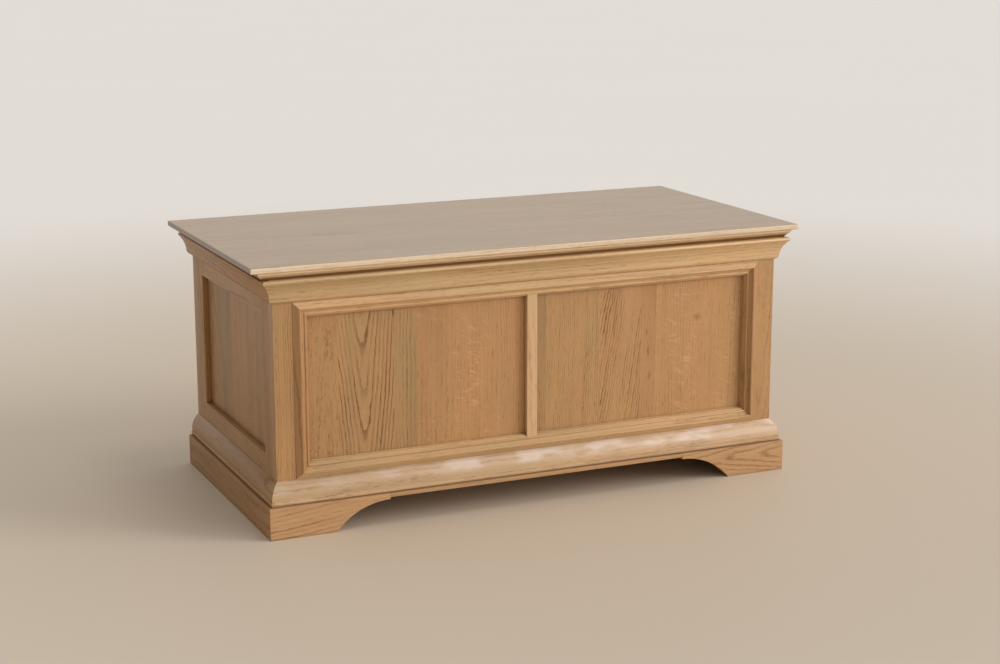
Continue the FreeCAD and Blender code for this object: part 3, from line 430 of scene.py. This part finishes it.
# The other boards, by how they are cut.
GRAIN = {
    UPRIGHT_FRONT: [
        "front_stile_left", "front_stile_right", "front_muntin", "back_stile_left",
        "back_stile_right", "panel_moulding_left", "panel_moulding_right", "corner_blocks",
    ],
    UPRIGHT_SIDE: [
        "side_stile_front_left", "side_stile_back_left", "side_stile_front_right",
        "side_stile_back_right",
    ],
    LEVEL_FRONT: [
        "front_rail_top", "front_rail_bottom", "back_rail_top", "back_rail_bottom",
        "cornice_front", "base_moulding_front", "foot_front_left", "foot_front_right",
        "apron_front", "plinth_back", "panel_moulding_top", "panel_moulding_bottom",
        "hinge_rail", "floor_bearers",
    ],
    LEVEL_TOP: ["lid_frame_front", "lid_frame_back", "floor_boards"],
    LEVEL_SIDE: [
        "side_rail_top_left", "side_rail_bottom_left", "side_rail_top_right",
        "side_rail_bottom_right", "cornice_left", "cornice_right", "base_moulding_left",
        "base_moulding_right", "plinth_side_left", "plinth_side_right", "lid_frame_left",
        "lid_frame_right",
    ],
    CROSS_TOP: ["lid_battens"],
}
PINE = ("floor_boards", "floor_bearers", "corner_blocks", "lid_battens")

# Boards whose look is given one by one; the rest vary by name.
PLINTH_LIGHT = (0.520, 0.310, 0.150)
MOULDING = dict(taper=0.01, contrast=0.6)
FOOT = dict(light=PLINTH_LIGHT, contrast=1.3, depth=0.02, spacing=0.008)
LOOKS = {
    "front_stile_left": dict(tone=0.02, contrast=0.9, spacing=0.0045),
    "front_stile_right": dict(tone=0.20, contrast=0.9, spacing=0.0045),
    "front_muntin": dict(tone=0.60, light=(0.555, 0.370, 0.200), contrast=0.7, fleck=0.1),
    "front_rail_top": dict(tone=0.55, light=(0.680, 0.465, 0.245), contrast=0.6, taper=0.015),
    "front_rail_bottom": dict(tone=0.10),
    "foot_front_left": dict(FOOT, tone=0.15, taper=0.10),
    "foot_front_right": dict(FOOT, tone=0.42, taper=-0.10),
    "apron_front": dict(tone=0.15, light=PLINTH_LIGHT),
    "panel_moulding_top": dict(MOULDING, tone=0.50, light=(0.580, 0.385, 0.195), painted_corner_shade=0.2),
    "panel_moulding_bottom": dict(MOULDING, tone=0.30, light=(0.530, 0.345, 0.165)),
    "panel_moulding_left": dict(tone=-0.20, warmth=0.2, taper=0.01),
    "panel_moulding_right": dict(tone=-0.10, warmth=0.2, taper=0.01),
    # The base moulding carries pale clouds of painted highlight.
    "base_moulding_front": dict(MOULDING, tone=0.36, light=(0.530, 0.365, 0.210), gloss=0.50,
                                painted_sheen=0.7),
    "cornice_front": dict(tone=0.50, light=(0.585, 0.400, 0.208), taper=0.01, contrast=0.55,
                          painted_corner_shade=0.1),
}

for axes, names in GRAIN.items():
    for name in names:
        r = [hashed(name, salt) for salt in range(20, 25)]
        look = dict(tone=0.24 * r[0] - 0.12, warmth=0.7 * r[1] - 0.25, fleck=0.5 * r[2],
                    depth=0.02 + 0.07 * r[3], taper=0.06 * r[4] - 0.03, contrast=0.9,
                    pith=0.16 * r[3] - 0.08, marks=MARKS.get(name, ()))
        # Side-facing boards take the darker oak: painted shade.
        if axes in (UPRIGHT_SIDE, LEVEL_SIDE):
            look["light"] = SIDE_PAINTED_SHADE
        look.update(LOOKS.get(name, {}))
        if name in PINE:
            look.update(light=PINE_LIGHT, line=PINE_LINE, pale=PINE_FLECK, spacing=0.004,
                        fleck=0.0, gloss=0.55, bump=0.2)
        nodes[name].data.materials[0] = oak(name, axes, **look)

for name, (axes, staves) in SPREAD.items():
    # Side panels take the darker oak: painted shade.
    light = SIDE_PAINTED_SHADE if axes == UPRIGHT_SIDE else OAK_LIGHT
    nodes[name].data.materials[0] = oak(name, axes, staves=staves, light=light,
                                        marks=MARKS.get(name, ()))

# The lid boards' greyer oak is partly painted sheen.
for i in range(1, 4):
    name = "lid_board_%d" % i
    nodes[name].data.materials[0] = oak(
        name, LEVEL_TOP, warmth=-0.35, fleck=0.15, depth=0.10, light=LID_OAK_AND_SHEEN, line=LID_LINE,
        pith=0.1 * i - 0.2, taper=0.01, contrast=0.35, gloss=0.36, coat=0.35, bump=0.15,
        marks=MARKS.get(name, ()), nose=0.0095, painted_corner_shade=0.25)

BRASS = metal("brass", (0.80, 0.58, 0.27), (0.42, 0.28, 0.12), 0.24, 0.16)
STEEL = metal("plated_steel", (0.62, 0.60, 0.55), (0.36, 0.34, 0.30), 0.26, 0.14)
for name in ("hinge_leaves_carcass", "hinge_leaves_lid", "hinge_pins", "stay_plate_carcass",
             "stay_plate_lid", "stay_lower", "stay_upper"):
    nodes[name].data.materials[0] = BRASS
for name in ("carcass_screws", "lid_screws"):
    nodes[name].data.materials[0] = STEEL

# ---- soft arrises ----

# How wide the rounding of a piece's edges is, by the start of its name.
ARRIS = {
    "foot": 0.0007, "plinth": 0.0007, "apron": 0.0005, "front_stile": 0.0004,
    "front_rail": 0.0003, "front_muntin": 0.0006, "side": 0.0003, "back": 0.0003,
    "cornice": 0.0004, "base": 0.0004, "panel_moulding": 0.0003, "hinge_rail": 0.0005,
    "lid_battens": 0.0010, "floor": 0.0006, "corner_blocks": 0.0006, "lid_frame": 0.0003,
}
for name, obj in nodes.items():
    wide = next((w for start, w in ARRIS.items() if name.startswith(start)), None)
    if wide is None:
        continue
    weld = obj.modifiers.new("weld", "WELD")
    weld.merge_threshold = 0.00002
    arris = obj.modifiers.new("arris", "BEVEL")
    arris.width = wide
    arris.segments = 2
    arris.limit_method = "ANGLE"
    arris.angle_limit = math.radians(35)

# ---- floor, light and camera ----

FLOOR_NEAR = (0.690, 0.590, 0.475)
FLOOR_FAR = (0.840, 0.812, 0.780)
FLOOR_PAINTED_GLOW = (1.0, 0.96, 0.91, 1)
SKY_COLOUR = (1.0, 0.97, 0.93, 1)

# The room is brighter up and to the right; the backdrop that the camera sees is even.
SKY_SIDE = Vector((0.62, -0.42, 0.66)).normalized()
SKY_LOW, SKY_HIGH, BACKDROP, WALL = 0.10, 0.80, 0.74, 0.75


def floor_material():
    """Paler with distance, as the light wall of a room would be behind the object, and glowing a
    little there: painted light.
    """
    material = bpy.data.materials.new("pale_floor")
    g = Graph(new_tree(material))
    place = g.add("TexCoord").outputs["Object"]
    away = g.add("VectorMath", {0: place}, operation="LENGTH").outputs["Value"]
    far = g.span(away, 0.8, 3.6)
    cloud = g.math("ADD", g.swing(place, (0.7, 0.7, 0.7), 0.02, detail=3.0), 1.0)
    colour = g.mix(1.0, g.mix(far, FLOOR_NEAR, FLOOR_FAR), g.colour(cloud, cloud, cloud),
                   "MULTIPLY")
    # The far floor glows a little: painted light.
    shader = g.add("BsdfPrincipled", {"Base Color": colour, "Roughness": 0.55,
                                      "Emission Strength": g.scaled(far, 0.09)})
    shader.inputs["Emission Color"].default_value = FLOOR_PAINTED_GLOW
    shader.inputs["Specular IOR Level"].default_value = 0.1
    g.add("OutputMaterial", {"Surface": shader.outputs[0]})
    return material


def light_room(world):
    """A sky that is brighter on one side, with a pale band behind, as a wall would be."""
    world.use_nodes = True
    world.node_tree.nodes.clear()
    g = Graph(world.node_tree)
    direction = g.add("TexCoord").outputs["Generated"]
    towards = g.add("VectorMath", {0: direction, 1: SKY_SIDE}, operation="DOT_PRODUCT")
    room = g.span(towards.outputs["Value"], -0.6, 1.0, SKY_LOW, SKY_HIGH)
    _, behind, up = g.parts(direction)[:3]
    wall = g.math("MULTIPLY", g.span(behind, 0.30, 0.75), g.span(up, 0.75, 0.35, 0.0, WALL))
    seen = g.add("LightPath").outputs["Is Camera Ray"]
    level = g.add("Mix", {0: seen, 2: g.math("MAXIMUM", room, wall), 3: BACKDROP},
                  data_type="FLOAT").outputs[0]
    sky = g.add("Background", {"Strength": level, "Color": SKY_COLOUR})
    g.add("OutputWorld", {"Surface": sky.outputs[0]})


bpy.ops.mesh.primitive_plane_add(size=120)
floor = bpy.context.object
floor.name = "floor"
floor.data.materials.append(floor_material())

bpy.context.scene.world = bpy.data.worlds.new("studio")
light_room(bpy.context.scene.world)


def soft_light(name, towards, spread, strength, colour):
    """Even light from a direction, as wide as a large softbox, so the floor has no bright spot."""
    light = bpy.data.lights.new(name, "SUN")
    light.angle = math.radians(spread)
    light.energy = strength
    light.color = colour
    lamp = bpy.data.objects.new(name, light)
    bpy.context.scene.collection.objects.link(lamp)
    lamp.rotation_euler = (-Vector(towards)).to_track_quat("-Z", "Y").to_euler()


soft_light("key", (9.00, -5.31, 2.97), 27, 1.50, (1.0, 0.97, 0.93))
soft_light("top", (0.9, -0.8, 3.1), 18, 0.22, (1.0, 0.98, 0.96))

# The camera looks down at the chest from the front left; its angles are in radians.
CAMERA_PLACE = Vector((-1.4875, -3.3880, 1.1200))
TURN, DOWN, ROLL = 0.4239, 0.2255, -0.0010
LENS, SENSOR = 69.15, 36    # millimetres

forward = Vector((math.sin(TURN) * math.cos(DOWN), math.cos(TURN) * math.cos(DOWN),
                  -math.sin(DOWN)))
level_right = Vector((math.cos(TURN), -math.sin(TURN), 0))
upward = level_right.cross(forward)
right = level_right * math.cos(ROLL) + upward * math.sin(ROLL)
upward = upward * math.cos(ROLL) - level_right * math.sin(ROLL)
camera_data = bpy.data.cameras.new("camera")
camera_data.lens = LENS
camera_data.sensor_width = SENSOR
camera = bpy.data.objects.new("camera", camera_data)
bpy.context.scene.collection.objects.link(camera)
facing = Matrix((right, upward, -forward)).transposed().to_4x4()
camera.matrix_world = Matrix.Translation(CAMERA_PLACE) @ facing
bpy.context.scene.camera = camera
bpy.context.scene.view_settings.view_transform = "Standard"
